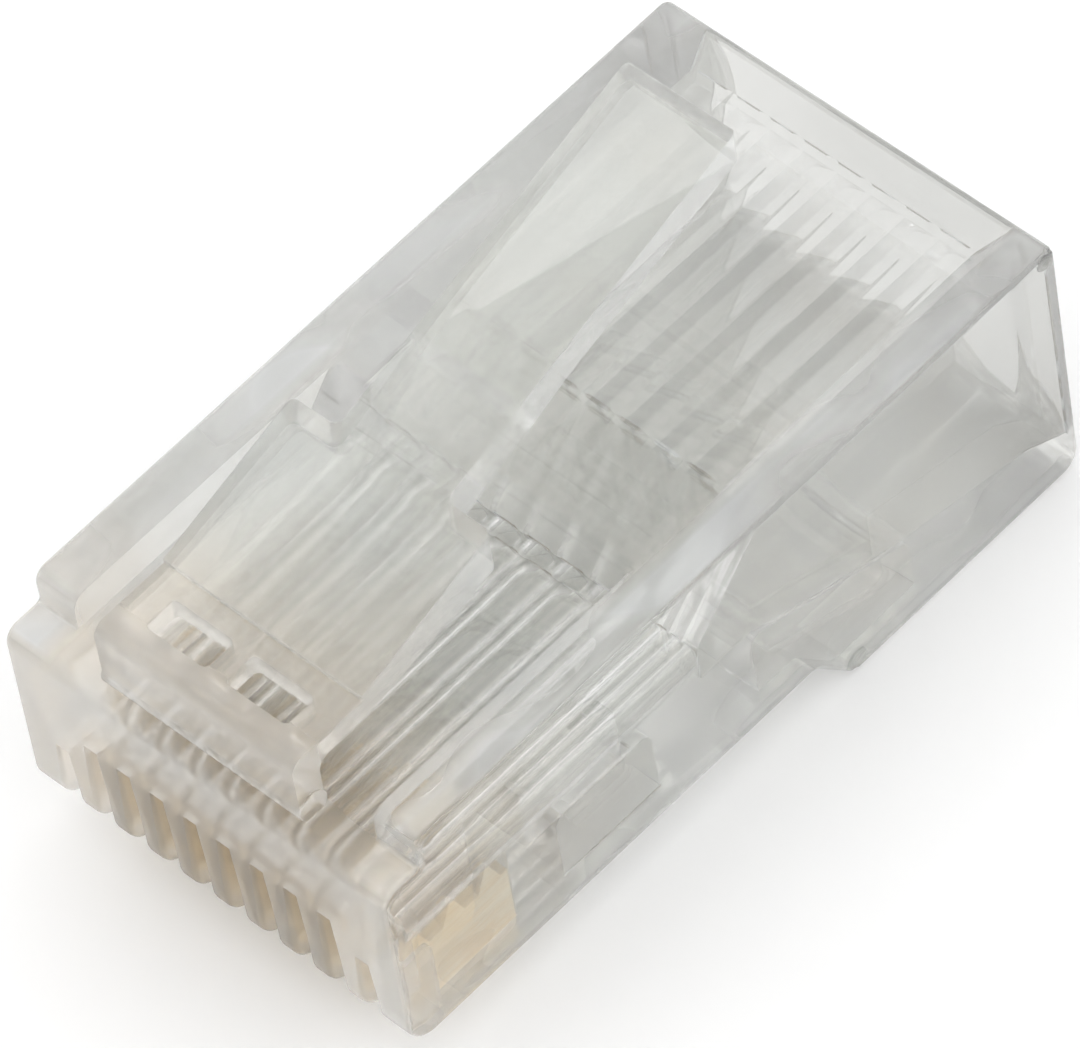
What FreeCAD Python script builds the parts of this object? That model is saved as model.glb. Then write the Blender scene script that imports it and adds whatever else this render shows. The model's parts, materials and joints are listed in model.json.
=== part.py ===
import FreeCAD, Part
import math
import os

from FreeCAD import Vector

# RJ45 modular plug with no cable fitted: a clear moulded housing, its sprung latch
# and eight gold-plated blade contacts that stand in a ten-slot comb.
# Millimetres, +Z up. The plug lies contacts down with its nose towards -X and its
# cable entry towards +X. Shapes are drawn with X counted from the nose face and Z
# from the underside, and moved at the end so that the origin is under the middle.

# Housing, outside
length = 21.83
width = 11.68
rear_height = 7.86
underside_step = 1.30
step_start = 13.07
step_run = 1.13
ledge_depth = 0.99
ledge_length = 1.14
rail_width = 1.30
recess_end = 8.40
recess_ramp = 0.90
edge_radius = 0.18
nose_foot_radius = 0.70
nose_top_radius = 0.45
ledge_radius = 0.12
rail_radius = 0.40
rear_top_radius = 0.30
rear_foot_radius = 0.60
step_radius = 0.35
recess_radius = 0.40
recess_top_radius = 0.30

# Comb and contacts
contact_count = 8
slot_count = 10
pitch = 1.02
blade_thickness = 0.34
slot_clearance = 0.03
blade_front = 0.66
blade_length = 3.40
blade_protrusion = 0.35
blade_front_radius = 0.60
blade_rear_radius = 0.30
blade_top_radius = 0.12
tine_count = 3
tine_height = 0.75
tine_width = 0.70
tine_entry = 0.10
comb_open_height = 3.10
comb_wall = 0.55
end_slot_length = 1.30
end_slot_height = 2.30
end_slot_radius = 0.20

# Conductor channels
channel_radius = 0.50
channel_height = 4.15
channel_front = 0.90
channel_end = 10.20

# Cable cavity
cavity_half_width = 4.25
ceiling_thickness = 1.00
ceiling_ramp = 2.40
groove_radius = 4.00
groove_depth = 0.03
ceiling_lip = 0.93
floor_lip = 1.38
side_lip = 1.10
lip_flare = 0.45
floor_ramp_start = 11.80
floor_ramp_run = 4.70
floor_ramp_foot = 2.06
floor_lip_height = 1.15
ramp_radius = 0.50
floor_foot_radius = 1.00

# Strain-relief bars, moulded in one with the housing and driven up once by the crimp
bar_web = 0.35
bar_gap = 0.60
cable_pocket_start = 11.90
cable_pocket_length = 5.00
cable_pocket_half_width = 3.90
cable_bar_thickness = 1.20
wire_pocket_start = 5.50
wire_pocket_length = 3.10
wire_pocket_half_width = 4.05
wire_bar_thickness = 1.00
pocket_radius = 0.30
bar_radius = 0.25

# Latch
latch_half_width = 3.00
lever_half_width = 1.63
hinge_x = 0.78
hinge_drop = 0.69
root_radius = 0.375
root_clearance = 0.03
strap_rise = 1.10
strap_thickness = 0.60
strap_end = 2.66
plate_step = 0.14
lever_angle = 17.6
shoulder_x = 7.00
shoulder_thickness = 1.20
taper_end = 11.00
tip_x = 16.85
lever_thickness = 0.90
window_inner = 0.28
window_outer = 2.15
window_margin = 0.56
window_radius = 0.15
wall_top_radius = 0.35
crook_radius = 0.35
step_edge_radius = 0.05
tip_top_radius = 0.12
tip_radius = 0.30
taper_radius = 1.00
shoulder_radius = 0.20
lever_radius = 0.25

# Derived sizes
half_width = width / 2
ledge_height = rear_height - ledge_depth
slot_width = blade_thickness + 2 * slot_clearance
channel_floor = channel_height - channel_radius
channel_top = channel_height + channel_radius
ceiling_height = rear_height - ceiling_thickness
hinge_z = rear_height - hinge_drop
strap_top = rear_height + strap_rise
strap_bottom = strap_top - strap_thickness
over = 1.0
touch = 1e-6


def rounded_wire(corners, place):
    """A closed wire through (u, v, radius) corners; place turns u and v into a point."""
    points = [place(u, v) for u, v, radius in corners]
    entries, tops, exits = [], [], []
    for i, (u, v, radius) in enumerate(corners):
        back = (points[i - 1] - points[i]).normalize()
        ahead = (points[(i + 1) % len(points)] - points[i]).normalize()
        half_angle = back.getAngle(ahead) / 2
        reach = radius / math.tan(half_angle)
        rise = radius / math.sin(half_angle) - radius
        entries.append(points[i] + back * reach)
        exits.append(points[i] + ahead * reach)
        tops.append(points[i] + (back + ahead).normalize() * rise)
    edges = []
    for i, (u, v, radius) in enumerate(corners):
        if radius > 0:
            edges.append(Part.Arc(entries[i], tops[i], exits[i]).toShape())
        edges.append(Part.makeLine(exits[i], entries[(i + 1) % len(points)]))
    return Part.Wire(edges)


def side_plate(corners, y_low, y_high):
    """A side outline in X and Z, made solid from y_low to y_high."""
    wire = rounded_wire(corners, lambda x, z: Vector(x, y_low, z))
    return Part.Face(wire).extrude(Vector(0, y_high - y_low, 0))


def plan_block(corners, z_low, z_high):
    """A plan outline in X and Y, made solid from z_low to z_high."""
    wire = rounded_wire(corners, lambda x, y: Vector(x, y, z_low))
    return Part.Face(wire).extrude(Vector(0, 0, z_high - z_low))


def row(count):
    """The Y of each place in a centred row at the contact pitch."""
    return [(i - (count - 1) / 2) * pitch for i in range(count)]


def floor_at(x):
    """The height of the cable cavity's floor where it ramps down from the channels."""
    share = (x - floor_ramp_start) / floor_ramp_run
    return channel_floor + share * (floor_ramp_foot - channel_floor)


def on_side(edge):
    """True for an edge that lies in one of the two outer side faces."""
    box = edge.BoundBox
    return box.YLength < touch and abs(abs(box.YMin) - half_width) < touch


def body_block():
    """The outer form: nose, low ledge, level of the rails, rear and stepped underside."""
    corners = [
        (0, underside_step, nose_foot_radius),
        (0, ledge_height, nose_top_radius),
        (ledge_length, ledge_height, ledge_radius),
        (ledge_length, rear_height, rail_radius),
        (length, rear_height, rear_top_radius),
        (length, 0, rear_foot_radius),
        (step_start + step_run, 0, step_radius),
        (step_start, underside_step, step_radius),
    ]
    block = side_plate(corners, -half_width, half_width)
    return block.makeFillet(edge_radius, [edge for edge in block.Edges if on_side(edge)])


def latch_recess():
    """The low floor between the two rails, ramped up to the full height behind."""
    corners = [
        (-over, ledge_height, 0),
        (recess_end, ledge_height, recess_radius),
        (recess_end + recess_ramp, rear_height, recess_top_radius),
        (length, rear_height, 0),
        (length, rear_height + over, 0),
        (-over, rear_height + over, 0),
    ]
    inner = half_width - rail_width
    return side_plate(corners, -inner, inner)


def contact_slots():
    """One slot per blade, open below and at the nose, with its top in the channel."""
    open_top = underside_step + comb_open_height
    rear = blade_front + blade_length + slot_clearance
    corners = [
        (-over, -over, 0),
        (rear, -over, 0),
        (rear, channel_height, 0),
        (comb_wall, channel_height, 0),
        (comb_wall, open_top, 0),
        (-over, open_top, 0),
    ]
    return [side_plate(corners, y - slot_width / 2, y + slot_width / 2) for y in row(contact_count)]


def end_slots():
    """The short empty slots that finish the comb on either side of the contacts."""
    top = underside_step + end_slot_height
    corners = [
        (-over, -over, 0),
        (end_slot_length, -over, 0),
        (end_slot_length, top, end_slot_radius),
        (-over, top, 0),
    ]
    places = [y for y in row(slot_count) if abs(y) > pitch * contact_count / 2]
    return [side_plate(corners, y - slot_width / 2, y + slot_width / 2) for y in places]


def conductor_channels():
    """Round tunnels that lead each conductor over its blade."""
    run = channel_end + ceiling_ramp / 2 - channel_front
    return [
        Part.makeCylinder(channel_radius, run, Vector(channel_front, y, channel_height), Vector(1, 0, 0))
        for y in row(contact_count)
    ]


def cable_cavity():
    """The hollow for the cable, with ramps to the channels and a flared mouth."""
    end = length + over
    slope = lip_flare / ceiling_lip
    side = [
        (channel_end, channel_floor, 0),
        (floor_ramp_start, channel_floor, ramp_radius),
        (floor_ramp_start + floor_ramp_run, floor_ramp_foot, floor_foot_radius),
        (length - floor_lip, floor_lip_height, 0),
        (length, floor_lip_height - lip_flare, 0),
        (end, floor_lip_height - lip_flare, 0),
        (end, ceiling_height + lip_flare + over * slope, 0),
        (length - ceiling_lip, ceiling_height, 0),
        (channel_end + ceiling_ramp, ceiling_height, ramp_radius),
        (channel_end, channel_top, 0),
    ]
    flare = cavity_half_width + lip_flare * (side_lip + over) / side_lip
    plan = [
        (channel_end - over, -cavity_half_width, 0),
        (length - side_lip, -cavity_half_width, 0),
        (end, -flare, 0),
        (end, flare, 0),
        (length - side_lip, cavity_half_width, 0),
        (channel_end - over, cavity_half_width, 0),
    ]
    return side_plate(side, -half_width, half_width).common(plan_block(plan, 0, rear_height))


def grooves(start, end):
    """A row of shallow round grooves, one to each channel, that rises from start to end."""
    line = end - start
    upright = Vector(-line.z, 0, line.x).normalize()
    sink = upright * (groove_depth - groove_radius)
    rods = [
        Part.makeCylinder(groove_radius, line.Length, start + sink + Vector(0, y, 0), line)
        for y in row(contact_count)
    ]
    reach = Vector(0, contact_count * pitch / 2, 0)
    corners = [start - reach, end - reach, end + reach, start + reach, start - reach]
    band = Part.Face(Part.makePolygon([corner - upright * over for corner in corners]))
    return band.extrude(upright * 2 * over).common(rods[0].multiFuse(rods[1:]))


def ceiling_grooves():
    """The channels' lines, carried up the ramp and back along the ceiling."""
    foot = Vector(channel_end, 0, channel_top)
    top = Vector(channel_end + ceiling_ramp, 0, ceiling_height)
    lip = Vector(length - ceiling_lip, 0, ceiling_height)
    return [grooves(foot, top), grooves(top, lip)]


def relief_pocket(start, run, reach, roof):
    """A pocket in the underside, up to the thin web over a strain-relief bar."""
    end = start + run
    corners = [
        (start, -over, 0),
        (end, -over, 0),
        (end, roof(end), pocket_radius),
        (start, roof(start), pocket_radius),
    ]
    return side_plate(corners, -reach, reach)


def relief_bar(start, run, reach, roof, thickness):
    """The bar that hangs from the web in the middle of its pocket."""
    first = start + bar_gap
    last = start + run - bar_gap
    sunk = bar_web / 2
    corners = [
        (first, roof(first) - thickness, bar_radius),
        (last, roof(last) - thickness, bar_radius),
        (last, roof(last) + sunk, 0),
        (first, roof(first) + sunk, 0),
    ]
    return side_plate(corners, -reach + bar_gap / 2, reach - bar_gap / 2)


def cable_roof(x):
    """The top of the cable's pocket at x, a web below the sloping floor."""
    return floor_at(x) - bar_web


def wire_roof(x):
    """The top of the conductors' pocket, a web below the channels, level all along."""
    return channel_floor - bar_web


def hinge_cylinder(radius, reach):
    """A cylinder along the latch's hinge axis, from -reach to reach."""
    return Part.makeCylinder(radius, 2 * reach, Vector(hinge_x, -reach, hinge_z), Vector(0, 1, 0))


def housing():
    """The clear moulding: nose and comb, rails, cavity and strain-relief bars."""
    cable_pocket = (cable_pocket_start, cable_pocket_length, cable_pocket_half_width, cable_roof)
    wire_pocket = (wire_pocket_start, wire_pocket_length, wire_pocket_half_width, wire_roof)
    seat = hinge_cylinder(root_radius + root_clearance, latch_half_width + root_clearance)
    shape = body_block().cut([latch_recess(), seat])
    hollow = cable_cavity().multiFuse(ceiling_grooves() + conductor_channels())
    shape = shape.cut(hollow)
    shape = shape.cut(contact_slots() + end_slots())
    shape = shape.cut([relief_pocket(*cable_pocket), relief_pocket(*wire_pocket)])
    shape = shape.fuse(relief_bar(*cable_pocket, cable_bar_thickness))
    shape = shape.fuse(relief_bar(*wire_pocket, wire_bar_thickness))
    return shape.removeSplitter()


def contact():
    """One blade: rounded contact edge below, piercing tines above."""
    bottom = underside_step - blade_protrusion
    tip = channel_floor + tine_entry
    base = tip - tine_height
    rear = blade_front + blade_length
    corners = [
        (blade_front, bottom, blade_front_radius),
        (rear, bottom, blade_rear_radius),
        (rear, base, 0),
    ]
    step = blade_length / tine_count
    for i in range(tine_count):
        middle = rear - (i + 0.5) * step
        corners += [(middle + tine_width / 2, base, 0), (middle, tip, 0), (middle - tine_width / 2, base, 0)]
    corners.append((blade_front, base, blade_top_radius))
    return side_plate(corners, -blade_thickness / 2, blade_thickness / 2)


def lever_top(x):
    """The height of the lever's upper face, which slopes up from the end of the strap."""
    return strap_top + plate_step + (x - strap_end) * math.tan(math.radians(lever_angle))


def latch_outline():
    """The latch seen from the side: front wall, level strap, plate, lever and tip."""
    front = hinge_x - root_radius
    back = hinge_x + root_radius
    return [
        (front, hinge_z, 0),
        (front, strap_top, wall_top_radius),
        (strap_end, strap_top, 0),
        (strap_end, lever_top(strap_end), step_edge_radius),
        (tip_x, lever_top(tip_x), tip_top_radius),
        (tip_x, lever_top(tip_x) - lever_thickness, tip_radius),
        (taper_end, lever_top(taper_end) - lever_thickness, taper_radius),
        (shoulder_x, lever_top(shoulder_x) - shoulder_thickness, taper_radius),
        (strap_end, strap_bottom, taper_radius),
        (back, strap_bottom, crook_radius),
        (back, hinge_z, 0),
    ]


def latch_plan():
    """The latch seen from above: wide plate, shoulders and narrow lever."""
    return [
        (0, -latch_half_width, 0),
        (shoulder_x, -latch_half_width, shoulder_radius),
        (shoulder_x, -lever_half_width, lever_radius),
        (tip_x, -lever_half_width, lever_radius),
        (tip_x, lever_half_width, lever_radius),
        (shoulder_x, lever_half_width, lever_radius),
        (shoulder_x, latch_half_width, shoulder_radius),
        (0, latch_half_width, 0),
    ]


def strap_window(y_low, y_high):
    """One of the two openings that thin the strap so that it bends easily."""
    near = hinge_x + root_radius
    far = strap_end - window_margin
    corners = [
        (near, y_low, window_radius),
        (far, y_low, window_radius),
        (far, y_high, window_radius),
        (near, y_high, window_radius),
    ]
    return plan_block(corners, hinge_z, strap_top + over)


def latch():
    """The latch that bends at its foot: round root, front wall, strap, plate and lever."""
    reach = latch_half_width
    shape = side_plate(latch_outline(), -reach, reach)
    shape = shape.fuse(hinge_cylinder(root_radius, reach))
    shape = shape.common(plan_block(latch_plan(), 0, rear_height + tip_x))
    shape = shape.cut([strap_window(window_inner, window_outer), strap_window(-window_outer, -window_inner)])
    return shape.removeSplitter()


def write(node, shape):
    """Move a shape so that the origin is under the middle of the plug, and write it."""
    moved = shape.copy()
    moved.translate(Vector(-length / 2, 0, 0))
    print(node, "valid", moved.isValid(), "solids", len(moved.Solids), "volume", round(moved.Volume, 3))
    moved.exportStep("parts/" + node + ".step")


def main():
    os.makedirs("parts", exist_ok=True)
    write("housing", housing())
    write("latch", latch())
    for number, y in enumerate(row(contact_count), start=1):
        blade = contact()
        blade.translate(Vector(0, y, 0))
        write(f"contact_{number}", blade)


main()
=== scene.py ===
import json
import math

import bmesh
import bpy
from bpy.props import FloatProperty, FloatVectorProperty, IntProperty, PointerProperty
from mathutils import Matrix, Vector


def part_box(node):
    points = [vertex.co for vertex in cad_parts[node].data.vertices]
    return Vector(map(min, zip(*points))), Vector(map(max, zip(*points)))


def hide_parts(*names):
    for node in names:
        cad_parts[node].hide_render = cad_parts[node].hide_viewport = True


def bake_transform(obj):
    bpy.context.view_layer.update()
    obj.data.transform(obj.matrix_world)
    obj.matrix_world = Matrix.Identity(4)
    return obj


bl_info = {
    "name": "Clear modular plug",
    "version": (1, 0, 0),
    "blender": (4, 5, 0),
    "location": "3D View > Sidebar > Plug",
    "description": "Dresses the packed modular plug: clear moulding, gold contacts, stage",
    "category": "Object",
}

MM = 0.001

# The moulding's edges.
EDGE_SLOT = 1  # material slot of the rounded edges
FLAT = math.radians(0.5)  # neighbouring faces nearer to one plane than this become one
ROOM = 2.2  # an edge is rounded where every edge beside it is this many roundings long
RIB_SIDE = 0.99  # least part of a rib side's normal that points across the plug

# Features per metre in each finish, along the plug, across it and up.
CLOUD = (260.0, 260.0, 260.0)
SCUFFS = (150.0, 3200.0, 3200.0)
WAVES = (420.0, 700.0, 700.0)
GLINTS = (500.0, 900.0, 900.0)
ROLLING_LINES = (900.0, 900.0, 14000.0)
WEAR = (900.0, 900.0, 900.0)

# Where the finishes' patches fade in or out.
FACING = (0.6, 0.9)  # part of the normal that points up, or out to the side
FRONT_FACING = (0.5, 0.8)  # part of the normal that points along the plug
LATCH_RISE = 0.05 * MM
SHOULDER_REACH = 0.1 * MM
RAMP_REACH = 0.8 * MM
RAMP_DEPTH = 0.8 * MM  # how far below the top of the body the ramp's patch begins
RAMP_FADE = 0.2 * MM
RAIL_EDGE = 0.1 * MM
RAIL_FADE = 0.6 * MM
REAR_FADE = 2.0 * MM
WALL_SKIN = 0.12 * MM  # depth that counts as the outer face of a side wall
MILK_CLOUD = (0.4, 0.6)
RAIL_CLOUD = (0.36, 0.58)
GLINT_SHARE = (0.53, 0.61)
WORN_SHARE = (0.42, 0.62)

# How strongly each patch shows.
CLOUD_WARMTH = 1.1
CLOUD_HAZE = 0.1
REAR_SHADE = 0.7
REAR_BODY = 0.15
SHOULDER_SHADE = 0.8
SHOULDER_BODY = 0.25
SCUFF_ROUGHNESS = 0.04
WALL_CLEARING = 0.8

SPECK_COLOUR = (0.12, 0.10, 0.08, 1.0)
WHITE = (1.0, 1.0, 1.0, 1.0)
FLOOR_HALF_WIDTH = 0.5

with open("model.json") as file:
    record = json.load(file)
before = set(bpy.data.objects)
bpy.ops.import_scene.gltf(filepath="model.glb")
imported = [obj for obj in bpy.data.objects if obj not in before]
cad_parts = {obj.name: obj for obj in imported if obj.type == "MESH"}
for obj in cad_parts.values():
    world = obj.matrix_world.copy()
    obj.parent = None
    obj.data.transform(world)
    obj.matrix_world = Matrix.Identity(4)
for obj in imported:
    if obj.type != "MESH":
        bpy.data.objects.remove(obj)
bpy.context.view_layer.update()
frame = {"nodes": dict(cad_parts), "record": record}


class Val:
    """One shader socket, with arithmetic that adds Math or Vector Math nodes."""

    def __init__(self, tree, socket):
        self.tree = tree
        self.socket = socket

    def math(self, operation, *others, clamp=False):
        """A Math node on this value and the others."""
        node = self.tree.nodes.new("ShaderNodeMath")
        node.operation = operation
        node.use_clamp = clamp
        for entry, value in zip(node.inputs, (self, *others)):
            plug_in(self.tree, entry, value)
        return Val(self.tree, node.outputs[0])

    def vector(self, operation, *others, take=0):
        """A Vector Math node on this vector and the others; gives one output."""
        node = self.tree.nodes.new("ShaderNodeVectorMath")
        node.operation = operation
        for entry, value in zip(node.inputs, (self, *others)):
            plug_in(self.tree, entry, value)
        return Val(self.tree, node.outputs[take])

    def parts(self):
        """This vector's parts along the plug, across it and up."""
        node = self.tree.nodes.new("ShaderNodeSeparateXYZ")
        plug_in(self.tree, node.inputs[0], self)
        return [Val(self.tree, part) for part in node.outputs]

    def __add__(self, other):
        return self.math("ADD", other)

    __radd__ = __add__

    def __sub__(self, other):
        return self.math("SUBTRACT", other)

    def __rsub__(self, other):
        return (self * -1.0) + other

    def __mul__(self, other):
        return self.math("MULTIPLY", other)

    __rmul__ = __mul__

    def distance(self, point):
        """How far this place is from a point."""
        return self.vector("DISTANCE", point, take="Value")

    def held(self):
        """This value kept between 0 and 1."""
        return self.math("ADD", 0.0, clamp=True)

    def over(self, low, high):
        """This value spread so that low becomes 0 and high becomes 1, held between."""
        return ((self - low) * (1.0 / (high - low))).held()

    def near(self, middle, reach):
        """1 where this value is at a middle, falling to 0 at a reach from it."""
        return (self - middle).math("ABSOLUTE").over(reach, reach * 0.8)


def plug_in(tree, entry, value):
    """Give a socket a link or a plain value."""
    if isinstance(value, Val):
        tree.links.new(value.socket, entry)
    else:
        entry.default_value = value


class Finish:
    """A material with one Principled shader, and the nodes that feed it."""

    def __init__(self, name):
        self.material = bpy.data.materials.new(name)
        self.material.use_nodes = True
        self.tree = self.material.node_tree
        self.tree.nodes.clear()
        self.output = self.tree.nodes.new("ShaderNodeOutputMaterial")
        self.shader = self.tree.nodes.new("ShaderNodeBsdfPrincipled")
        self.tree.links.new(self.shader.outputs[0], self.output.inputs["Surface"])

    def node(self, kind, settings=None, sockets=None, take=0, **entries):
        """A node of a kind: its settings first, then its sockets by place or name; gives one output."""
        made = self.tree.nodes.new(kind)
        for name, value in (settings or {}).items():
            setattr(made, name, value)
        for place, value in (sockets or {}).items():
            plug_in(self.tree, made.inputs[place], value)
        for name, value in entries.items():
            plug_in(self.tree, made.inputs[name.replace("_", " ")], value)
        return Val(self.tree, made.outputs[take])

    def place(self):
        """The object's own coordinates, in metres."""
        return self.node("ShaderNodeTexCoord", take="Object")

    def noise(self, per_metre, detail):
        """Soft noise from 0 to 1, with so many features per metre along each axis."""
        where = self.place().vector("MULTIPLY", per_metre)
        return self.node("ShaderNodeTexNoise", Vector=where, Scale=1.0, Detail=detail)

    def mix(self, share, low, high):
        """A colour between two, by a share."""
        return self.node("ShaderNodeMix", {"data_type": "RGBA"}, {0: share, 6: low, 7: high}, take=2)

    def shade(self, **entries):
        """Set or link the shader's sockets."""
        for name, value in entries.items():
            plug_in(self.tree, self.shader.inputs[name.replace("_", " ")], value)

    def veil(self, share, **entries):
        """Lay a second Principled shader over the first by a share."""
        first = Val(self.tree, self.shader.outputs[0])
        second = self.node("ShaderNodeBsdfPrincipled", **entries)
        both = self.node("ShaderNodeMixShader", sockets={0: share, 1: first, 2: second})
        plug_in(self.tree, self.output.inputs["Surface"], both)


class PlugPlastic(bpy.types.PropertyGroup):
    """The clear moulding's finish."""

    tint: FloatVectorProperty(
        name="Tint", description="Colour that the clear plastic gives to light", subtype="COLOR",
        size=4, min=0.0, max=1.0, default=(0.84, 0.848, 0.82, 1.0),
    )
    # Painted glow: the warm colour stands in for the gold contacts' light seen through the plastic near the
    # nose; it also tints random cloudy patches.
    warm_tint: FloatVectorProperty(
        name="Warm tint", description="Colour near the nose, where the gold glows through", subtype="COLOR",
        size=4, min=0.0, max=1.0, default=(0.93, 0.86, 0.76, 1.0),
    )
    warm_reach: FloatProperty(
        name="Warm reach", description="How far behind the nose the warm colour ends",
        subtype="DISTANCE", min=0.0, default=6.5 * MM,
    )
    roughness: FloatProperty(
        name="Roughness", description="How much the moulded skin blurs", min=0.0, max=1.0, default=0.02
    )
    clarity: FloatProperty(
        name="Clarity", description="Share of the light that the plastic passes",
        min=0.0, max=1.0, default=0.95,
    )
    body: FloatProperty(
        name="Body", description="How much of the background the plastic bends or holds back",
        min=0.0, max=1.0, default=0.72,
    )
    index: FloatProperty(
        name="Index", description="How strongly the plastic bends light", min=1.0, max=2.0, default=1.58
    )
    haze: FloatProperty(
        name="Haze", description="Share of milky haze at the very front of the nose",
        min=0.0, max=1.0, default=0.42,
    )
    haze_reach: FloatProperty(
        name="Haze reach", description="How far behind the nose the haze ends",
        subtype="DISTANCE", min=0.0, default=3.6 * MM,
    )
    haze_colour: FloatVectorProperty(
        name="Haze colour", description="Colour of the milky haze", subtype="COLOR",
        size=4, min=0.0, max=1.0, default=(0.94, 0.915, 0.87, 1.0),
    )
    # Painted sheen: bluish-white colour of the cloudy patches of painted sheen on the rails' upward faces,
    # and the light side of the edges' painted glints.
    sheen_colour: FloatVectorProperty(
        name="Rail colour", description="Colour of the cloudy patches on the side rails", subtype="COLOR",
        size=4, min=0.0, max=1.0, default=(0.94, 0.97, 1.0, 1.0),
    )
    rail_sheen_share: FloatProperty(
        name="Rail haze", description="Share of cloud on the side rails", min=0.0, max=1.0, default=0.6
    )
    rail_inside: FloatProperty(
        name="Rail inside", description="Distance of the rails' inner edges from the middle plane",
        subtype="DISTANCE", min=0.0, default=4.4 * MM,
    )
    shadow_tint: FloatVectorProperty(
        name="Shadow tint", description="Colour of the shaded shoulders and edges", subtype="COLOR",
        size=4, min=0.0, max=1.0, default=(0.32, 0.29, 0.23, 1.0),
    )
    shoulders: FloatProperty(
        name="Shoulders", description="Distance of the latch's shoulders behind the nose",
        subtype="DISTANCE", min=0.0, default=7.0 * MM,
    )
    # Painted shade: a darker grey laid over the thick plastic round the cable's mouth.
    rear_shade_colour: FloatVectorProperty(
        name="Rear tint", description="Colour of the thick plastic round the cable's mouth", subtype="COLOR",
        size=4, min=0.0, max=1.0, default=(0.66, 0.66, 0.64, 1.0),
    )
    rear_start: FloatProperty(
        name="Rear start", description="Distance behind the nose where that colour begins",
        subtype="DISTANCE", min=0.0, default=18.6 * MM,
    )
    ramp_middle: FloatProperty(
        name="Ramp middle", description="Distance behind the nose of the ramp under the lever",
        subtype="DISTANCE", min=0.0, default=8.85 * MM,
    )
    ramp_ease: FloatProperty(
        name="Ramp ease", description="How much less that ramp bends the light", min=0.0, max=1.0, default=0.5
    )
    wave_depth: FloatProperty(
        name="Wave depth", description="Depth of the faint flow waves in the skin",
        subtype="DISTANCE", min=0.0, default=0.004 * MM,
    )
    edge: FloatProperty(
        name="Edge", description="How far the moulding's sharp edges are rounded",
        subtype="DISTANCE", min=0.0, default=0.05 * MM,
    )
    rib_edge: FloatProperty(
        name="Rib edge", description="Rounding of the edges of the comb's ribs",
        subtype="DISTANCE", min=0.0, default=0.15 * MM,
    )
    comb_reach: FloatProperty(
        name="Comb reach", description="How far the comb passes the contacts, to the sides and the rear",
        subtype="DISTANCE", min=0.0, default=1.6 * MM,
    )
    comb_top: FloatProperty(
        name="Comb top", description="Height of the top of the comb's slots",
        subtype="DISTANCE", min=0.0, default=6.0 * MM,
    )
    edge_segments: IntProperty(
        name="Edge segments", description="Steps in a rounded edge", min=1, default=3
    )
    edge_angle: FloatProperty(
        name="Edge angle", description="Edges sharper than this are rounded", subtype="ANGLE",
        min=0.0, default=math.radians(40),
    )
    root_radius: FloatProperty(
        name="Root radius", description="Radius of the fill round the latch's foot",
        subtype="DISTANCE", min=0.0, default=0.41 * MM,
    )
    root_end: FloatProperty(
        name="Root end", description="How far that fill passes the latch at each side",
        subtype="DISTANCE", min=0.0, default=0.035 * MM,
    )
    root_segments: IntProperty(name="Root segments", description="Sides of that fill", min=8, default=48)
    bend: FloatProperty(
        name="Bend", description="Height of the wall over which the latch's bend spreads",
        subtype="DISTANCE", min=0.0, default=0.4 * MM,
    )
    crease: FloatProperty(
        name="Crease", description="Edges sharper than this stay sharp", subtype="ANGLE",
        min=0.0, default=math.radians(34),
    )
    speck: FloatVectorProperty(
        name="Speck", description="Place of the dark speck on the latch's plate",
        subtype="TRANSLATION", size=3, default=(-6.73 * MM, -0.88 * MM, 8.96 * MM),
    )
    speck_radius: FloatProperty(
        name="Speck radius", description="Radius of that speck",
        subtype="DISTANCE", min=0.0, default=0.07 * MM,
    )


class PlugGold(bpy.types.PropertyGroup):
    """The contacts' gold plating."""

    colour: FloatVectorProperty(
        name="Colour", description="Colour of the gold plating", subtype="COLOR",
        size=4, min=0.0, max=1.0, default=(0.98, 0.89, 0.70, 1.0),
    )
    worn_colour: FloatVectorProperty(
        name="Worn colour", description="Colour along the rolling lines", subtype="COLOR",
        size=4, min=0.0, max=1.0, default=(0.88, 0.71, 0.44, 1.0),
    )
    metal: FloatProperty(
        name="Metal", description="How much the plating mirrors as bare metal", min=0.0, max=1.0, default=0.4
    )
    roughness: FloatProperty(
        name="Roughness", description="Blur of the cleanest plating", min=0.0, max=1.0, default=0.3
    )
    cloud_roughness: FloatProperty(
        name="Cloud roughness", description="Blur that the cloudy patches add",
        min=0.0, max=1.0, default=0.15,
    )
    line_depth: FloatProperty(
        name="Line depth", description="Depth of the rolling lines",
        subtype="DISTANCE", min=0.0, default=0.002 * MM,
    )


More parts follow.
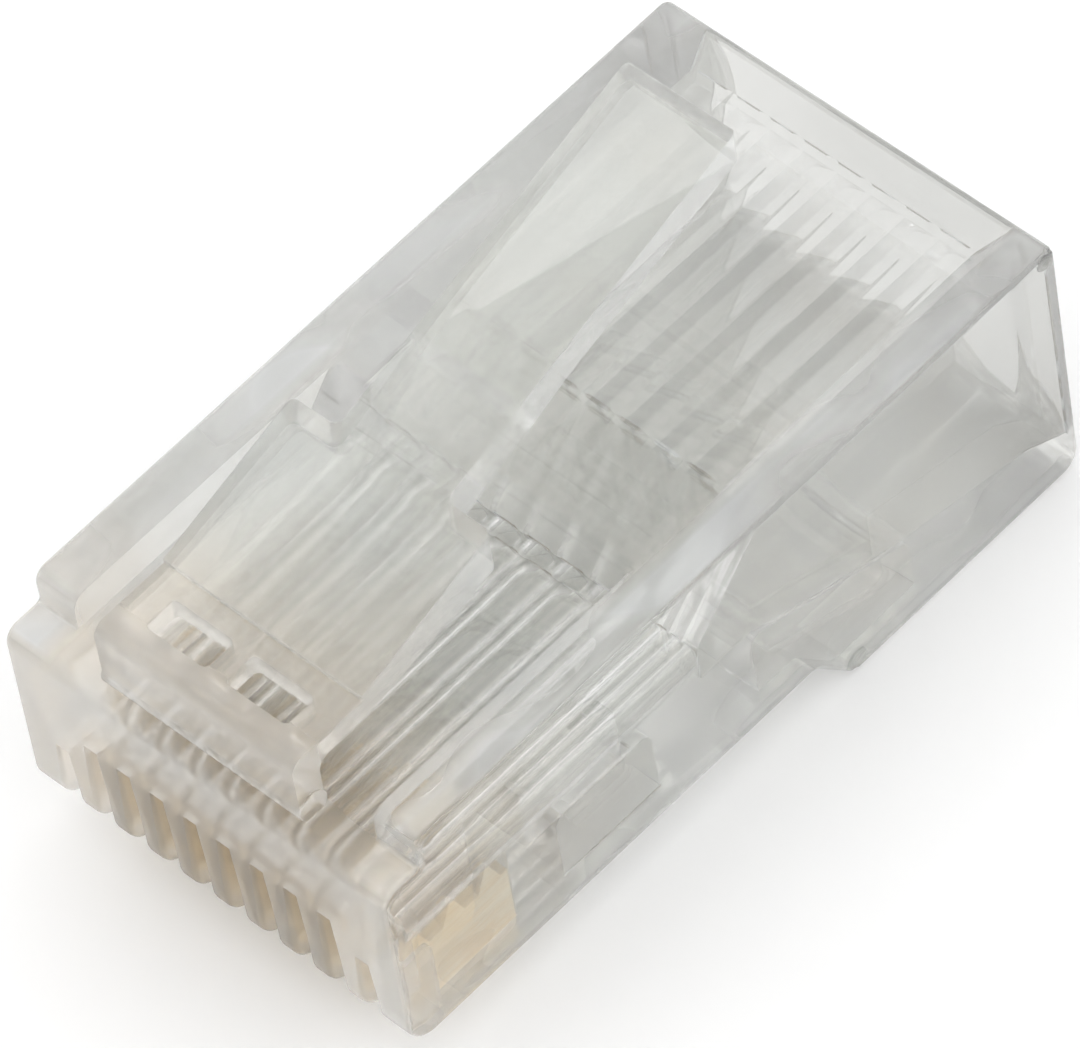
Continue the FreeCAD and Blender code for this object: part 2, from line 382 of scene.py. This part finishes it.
class PlugStage(bpy.types.PropertyGroup):
    """Floor, light and camera."""

    floor_colour: FloatVectorProperty(
        name="Floor", description="Colour of the plain floor", subtype="COLOR",
        size=4, min=0.0, max=1.0, default=(0.97, 0.97, 0.97, 1.0),
    )
    floor_gap: FloatProperty(
        name="Floor gap", description="Gap that keeps the floor clear of the plug's lowest face",
        subtype="DISTANCE", min=0.0, default=0.02 * MM,
    )
    sky_strength: FloatProperty(
        name="Sky", description="Strength of the even light all round", min=0.0, default=1.15
    )
    key_power: FloatProperty(
        name="Key power", description="Power of the key lamp", unit="POWER", default=0.05
    )
    key_size: FloatProperty(
        name="Key size", description="Width of the key lamp", subtype="DISTANCE", default=0.35
    )
    key_distance: FloatProperty(
        name="Key distance", description="Distance of the key lamp", subtype="DISTANCE", default=0.395
    )
    key_azimuth: FloatProperty(
        name="Key azimuth", description="Direction of the key lamp round the plug",
        subtype="ANGLE", default=math.radians(111.8),
    )
    key_elevation: FloatProperty(
        name="Key elevation", description="Height of the key lamp as an angle",
        subtype="ANGLE", default=math.radians(65.8),
    )
    side_power: FloatProperty(
        name="Side power", description="Power of the side lamp", unit="POWER", default=0.02
    )
    side_size: FloatProperty(
        name="Side size", description="Width of the side lamp", subtype="DISTANCE", default=0.06
    )
    side_distance: FloatProperty(
        name="Side distance", description="Distance of the side lamp", subtype="DISTANCE", default=0.3
    )
    side_azimuth: FloatProperty(
        name="Side azimuth", description="Direction of the side lamp round the plug",
        subtype="ANGLE", default=math.radians(-60),
    )
    side_elevation: FloatProperty(
        name="Side elevation", description="Height of the side lamp as an angle",
        subtype="ANGLE", default=math.radians(35),
    )
    aim: FloatVectorProperty(
        name="Aim", description="Point that the camera looks at", subtype="TRANSLATION",
        size=3, default=(-1.3213 * MM, -1.4559 * MM, 6.78 * MM),
    )
    distance: FloatProperty(
        name="Distance", description="Distance of the camera from that point",
        subtype="DISTANCE", default=0.26638,
    )
    azimuth: FloatProperty(
        name="Azimuth", description="Direction of the camera round the plug",
        subtype="ANGLE", default=math.radians(-128.7174),
    )
    elevation: FloatProperty(
        name="Elevation", description="Height of the camera as an angle",
        subtype="ANGLE", default=math.radians(52.3612),
    )
    roll: FloatProperty(
        name="Roll", description="Turn of the camera about its own line of sight",
        subtype="ANGLE", default=math.radians(-10.3935),
    )
    lens: FloatProperty(name="Lens", description="Focal length", unit="CAMERA", default=404.89)
    sensor: FloatProperty(
        name="Sensor", description="Width of the camera's sensor", unit="CAMERA", default=36.0
    )
    nearest: FloatProperty(
        name="Nearest", description="Nearest distance that the camera sees", subtype="DISTANCE", default=0.01
    )
    farthest: FloatProperty(
        name="Farthest", description="Farthest distance that the camera sees", subtype="DISTANCE", default=5.0
    )


def clear_plastic(settings):
    """Clear polycarbonate: faintly wavy and scuffed, milky at the nose with a painted warm glow of the gold
    there, with a painted cloudy bluish-white sheen on the rails' tops, and painted shade on the latch's
    shoulders and towards the rear.
    """
    finish = Finish("clear_plastic")
    finish.material.use_transparent_shadow = False
    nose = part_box("housing")[0][0]
    half_width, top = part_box("housing")[1][1:]
    place = finish.place()
    along, across, height = place.parts()
    behind = along - nose
    across = across.math("ABSOLUTE")
    facing, sideways, upward = finish.node("ShaderNodeNewGeometry", take="Normal").parts()
    cloud = finish.noise(CLOUD, detail=1.0)
    scuffs = finish.noise(SCUFFS, detail=0.0)
    waves = finish.noise(WAVES, detail=0.0)
    skin = finish.node("ShaderNodeBump", Height=waves, Distance=settings.wave_depth)

    on_latch = height.over(top, top + LATCH_RISE)
    shoulder = facing.over(*FRONT_FACING) * on_latch * behind.near(settings.shoulders, SHOULDER_REACH)
    on_rail = across.over(settings.rail_inside, settings.rail_inside + RAIL_EDGE)
    ramp = behind.near(settings.ramp_middle, RAMP_REACH) * (1 - on_rail)
    ramp = ramp * height.over(top - RAMP_DEPTH, top - RAMP_DEPTH + RAMP_FADE)
    speck = place.distance(tuple(settings.speck)).over(settings.speck_radius, settings.speck_radius * 0.5)
    # Painted shade towards the rear: darker grey, and a little less see-through, from the rear start on.
    rear = behind.over(settings.rear_start, settings.rear_start + REAR_FADE)

    # Painted glow of the gold at the nose, fading out at the warm reach, plus random warm patches from the
    # cloud noise.
    gold_glow_and_cloud = (behind.over(settings.warm_reach, 0.0) + (cloud - 0.5) * CLOUD_WARMTH).held()
    tint = finish.mix(gold_glow_and_cloud, tuple(settings.tint), tuple(settings.warm_tint))
    tint = finish.mix(rear * REAR_SHADE, tint, tuple(settings.rear_shade_colour))
    tint = finish.mix(shoulder * SHOULDER_SHADE, tint, tuple(settings.shadow_tint))
    body = speck + shoulder * SHOULDER_BODY + rear * REAR_BODY + settings.body - ramp * settings.ramp_ease
    finish.shade(
        Base_Color=finish.mix(speck, tint, SPECK_COLOUR), IOR=settings.index,
        Transmission_Weight=settings.clarity, Alpha=body.held(),
        Roughness=scuffs * SCUFF_ROUGHNESS + settings.roughness, Normal=skin,
    )

    on_wall = across.over(half_width - 2 * WALL_SKIN, half_width - WALL_SKIN)
    side_wall = sideways.math("ABSOLUTE").over(*FACING) * on_wall
    front = behind.over(settings.haze_reach, 0.0) * settings.haze * (1 - side_wall * WALL_CLEARING)
    milk = finish.mix(cloud.over(*MILK_CLOUD), tuple(settings.haze_colour), tuple(settings.warm_tint))
    # Painted sheen: cloudy bluish-white patches on the rails' upward-facing faces only.
    rails = across.over(settings.rail_inside, settings.rail_inside + RAIL_FADE) * upward.over(*FACING)
    rails = rails * cloud.over(*RAIL_CLOUD)
    finish.veil(
        (front + rails * settings.rail_sheen_share + (cloud - 0.5) * CLOUD_HAZE).held(),
        Base_Color=finish.mix(rails, milk, tuple(settings.sheen_colour)),
        Roughness=0.4, IOR=settings.index, Transmission_Weight=0.75, Alpha=0.85, Normal=skin,
    )
    return finish.material


def edge_lines(settings):
    """The same plastic where its rounded edges catch light and shade."""
    finish = Finish("edge_lines")
    finish.material.use_transparent_shadow = False
    share = finish.noise(GLINTS, detail=1.0).over(*GLINT_SHARE)
    finish.shade(
        Base_Color=finish.mix(share, tuple(settings.shadow_tint), tuple(settings.sheen_colour)),
        IOR=settings.index, Transmission_Weight=0.4, Alpha=0.9, Roughness=0.12,
    )
    return finish.material


def gold_plate(settings):
    """Bright gold plating with faint rolling lines."""
    finish = Finish("gold_plate")
    lines = finish.noise(ROLLING_LINES, detail=2.0)
    cloud = finish.noise(WEAR, detail=3.0)
    worn = (lines * 0.5 + cloud * 0.5).over(*WORN_SHARE)
    finish.shade(
        Base_Color=finish.mix(worn, tuple(settings.colour), tuple(settings.worn_colour)),
        Metallic=settings.metal, Roughness=cloud * settings.cloud_roughness + settings.roughness,
        Normal=finish.node("ShaderNodeBump", Height=lines, Distance=settings.line_depth),
    )
    return finish.material


def mesh_object(name, form):
    """Put a bmesh form into the scene as an object, and free the form."""
    mesh = bpy.data.meshes.new(name)
    form.to_mesh(mesh)
    form.free()
    made = bpy.data.objects.new(name, mesh)
    bpy.context.scene.collection.objects.link(made)
    return made


def root_fill(settings):
    """A rod that closes the seat round the latch's foot, as the real moulding does."""
    joint = next(joint for joint in frame["record"]["behaviour"]["joints"] if joint["name"] == "latch_flex")
    low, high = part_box("latch")
    form = bmesh.new()
    bmesh.ops.create_cone(
        form, cap_ends=True, segments=settings.root_segments, radius1=settings.root_radius,
        radius2=settings.root_radius, depth=high[1] - low[1] + 2 * settings.root_end,
        matrix=Matrix.Translation(joint["pos_m"]) @ Matrix.Rotation(math.pi / 2, 4, "X"),
    )
    return mesh_object("root_fill", form)


def keep_shape(target):
    """Make what the object's modifiers give into its own mesh."""
    bpy.context.view_layer.update()
    whole = bpy.data.meshes.new_from_object(target.evaluated_get(bpy.context.evaluated_depsgraph_get()))
    target.modifiers.clear()
    target.data = whole


def fuse(target, others):
    """Join the others to the target as one closed skin, and delete them."""
    for other in others:
        union = target.modifiers.new("union", "BOOLEAN")
        union.operation = "UNION"
        union.solver = "EXACT"
        union.object = other
    keep_shape(target)
    for other in others:
        bpy.data.objects.remove(other)


def round_edges(target, settings):
    """Round the sharp edges a little, as a mould leaves them, and the edges of the comb's ribs more."""
    comb_side = max(abs(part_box("contact_1")[0][1]), abs(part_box("contact_8")[1][1])) + settings.comb_reach
    comb_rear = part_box("contact_1")[1][0] + settings.comb_reach

    def in_comb(place):
        return abs(place.y) < comb_side and place.x < comb_rear and place.z < settings.comb_top

    form = bmesh.new()
    form.from_mesh(target.data)
    bmesh.ops.dissolve_limit(form, angle_limit=FLAT, verts=form.verts, edges=form.edges)
    weights = form.edges.layers.float.new("bevel_weight_edge")
    for edge in form.edges:
        if edge.calc_face_angle(0.0) < settings.edge_angle:
            continue
        if all(in_comb(vert.co) for vert in edge.verts):
            end, side = sorted(abs(face.normal.y) for face in edge.link_faces)
            if edge.is_convex and end < 1 - RIB_SIDE and side > RIB_SIDE:
                edge[weights] = 1.0
        else:
            shortest = min(beside.calc_length() for vert in edge.verts for beside in vert.link_edges)
            if shortest / ROOM > settings.edge:
                edge[weights] = settings.edge / settings.rib_edge
    form.to_mesh(target.data)
    form.free()
    bevel = target.modifiers.new("edges", "BEVEL")
    bevel.width = settings.rib_edge
    bevel.segments = settings.edge_segments
    bevel.limit_method = "WEIGHT"
    bevel.use_clamp_overlap = False
    bevel.material = EDGE_SLOT
    keep_shape(target)
    for face in target.data.polygons:
        if in_comb(face.center):
            face.material_index = 0


def shade_faces(target, settings):
    """Shade curves smoothly, and keep each flat face flat up to its rounded edge."""
    target.data.shade_smooth()
    form = bmesh.new()
    form.from_mesh(target.data)
    for edge in form.edges:
        slots = {face.material_index for face in edge.link_faces}
        edge.smooth = len(slots) == 1 and edge.calc_face_angle(math.pi) < settings.crease
    form.to_mesh(target.data)
    form.free()


class PLUG_OT_moulding(bpy.types.Operator):
    """Build the housing and its latch as the one clear moulding that they are"""

    bl_idname = "plug.moulding"
    bl_label = "Clear moulding"

    def execute(self, context):
        settings = context.scene.plug_plastic
        pieces = []
        for name in ("housing", "latch"):
            piece = bpy.data.objects.new("copy_" + name, frame["nodes"][name].data.copy())
            context.scene.collection.objects.link(piece)
            pieces.append(piece)
        moulding = pieces[0]
        moulding.name = "moulding"
        fuse(moulding, [pieces[1], root_fill(settings)])
        if not moulding.data.polygons:
            raise RuntimeError("the union of housing and latch came out empty")
        moulding.data.materials.clear()
        moulding.data.materials.append(clear_plastic(settings))
        moulding.data.materials.append(edge_lines(settings))
        for face in moulding.data.polygons:
            face.material_index = 0
        round_edges(moulding, settings)
        shade_faces(moulding, settings)
        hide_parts("housing", "latch")
        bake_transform(moulding)
        return {"FINISHED"}


class PLUG_OT_contacts(bpy.types.Operator):
    """Give the blade contacts their gold plating"""

    bl_idname = "plug.contacts"
    bl_label = "Gold contacts"

    def execute(self, context):
        material = gold_plate(context.scene.plug_gold)
        for name, node in frame["nodes"].items():
            if name.startswith("contact"):
                node.data.materials.clear()
                node.data.materials.append(material)
        return {"FINISHED"}


def place_round(made, aim, azimuth, elevation, distance, roll=0.0):
    """Stand an object off a point at two angles and a distance, turned to face the point."""
    turn = Matrix.Rotation(azimuth + math.pi / 2, 4, "Z") @ Matrix.Rotation(math.pi / 2 - elevation, 4, "X")
    away = Matrix.Translation((0.0, 0.0, distance))
    made.matrix_world = Matrix.Translation(Vector(aim)) @ turn @ Matrix.Rotation(roll, 4, "Z") @ away
    bpy.context.scene.collection.objects.link(made)


def soft_lamp(name, power, size, azimuth, elevation, distance):
    """A square lamp that faces the plug."""
    lamp = bpy.data.lights.new(name, "AREA")
    lamp.energy = power
    lamp.size = size
    place_round(bpy.data.objects.new(name, lamp), (0.0, 0.0, 0.0), azimuth, elevation, distance)


class PLUG_OT_stage(bpy.types.Operator):
    """Build the plain floor, the soft light and the camera"""

    bl_idname = "plug.stage"
    bl_label = "Stage"

    def execute(self, context):
        settings = context.scene.plug_stage
        scene = context.scene
        form = bmesh.new()
        bmesh.ops.create_grid(form, x_segments=1, y_segments=1, size=FLOOR_HALF_WIDTH)
        bmesh.ops.translate(form, verts=form.verts, vec=(0.0, 0.0, -settings.floor_gap))
        floor = mesh_object("floor", form)
        finish = Finish("floor")
        finish.shade(Base_Color=tuple(settings.floor_colour), Roughness=0.9, Specular_IOR_Level=0.1)
        floor.data.materials.append(finish.material)

        world = bpy.data.worlds.new("soft_light")
        world.use_nodes = True
        sky = world.node_tree.nodes["Background"]
        sky.inputs["Color"].default_value = WHITE
        sky.inputs["Strength"].default_value = settings.sky_strength
        scene.world = world

        soft_lamp(
            "key", settings.key_power, settings.key_size,
            settings.key_azimuth, settings.key_elevation, settings.key_distance,
        )
        soft_lamp(
            "side", settings.side_power, settings.side_size,
            settings.side_azimuth, settings.side_elevation, settings.side_distance,
        )
        camera = bpy.data.cameras.new("camera")
        camera.sensor_width = settings.sensor
        camera.lens = settings.lens
        camera.clip_start = settings.nearest
        camera.clip_end = settings.farthest
        viewer = bpy.data.objects.new("camera", camera)
        place_round(
            viewer, settings.aim, settings.azimuth, settings.elevation, settings.distance, settings.roll
        )
        scene.camera = viewer
        scene.view_settings.view_transform = "Standard"
        return {"FINISHED"}


class PLUG_PT_panel(bpy.types.Panel):
    """The plug's finishes and makers"""

    bl_idname = "PLUG_PT_panel"
    bl_label = "Clear modular plug"
    bl_space_type = "VIEW_3D"
    bl_region_type = "UI"
    bl_category = "Plug"

    def draw(self, context):
        layout = self.layout
        for group in (context.scene.plug_plastic, context.scene.plug_gold, context.scene.plug_stage):
            for name in group.__annotations__:
                layout.prop(group, name)
        for operator in MAKERS:
            layout.operator(operator.bl_idname)


GROUPS = {"plug_plastic": PlugPlastic, "plug_gold": PlugGold, "plug_stage": PlugStage}
MAKERS = (PLUG_OT_stage, PLUG_OT_moulding, PLUG_OT_contacts)


def register():
    for name, group in GROUPS.items():
        bpy.utils.register_class(group)
        setattr(bpy.types.Scene, name, PointerProperty(type=group))
    for operator in MAKERS:
        bpy.utils.register_class(operator)
    bpy.utils.register_class(PLUG_PT_panel)


def unregister():
    bpy.utils.unregister_class(PLUG_PT_panel)
    for operator in MAKERS:
        bpy.utils.unregister_class(operator)
    for name, group in GROUPS.items():
        delattr(bpy.types.Scene, name)
        bpy.utils.unregister_class(group)


def main():
    register()
    bpy.ops.plug.stage()
    bpy.ops.plug.moulding()
    bpy.ops.plug.contacts()


if __name__ == "__main__":
    main()
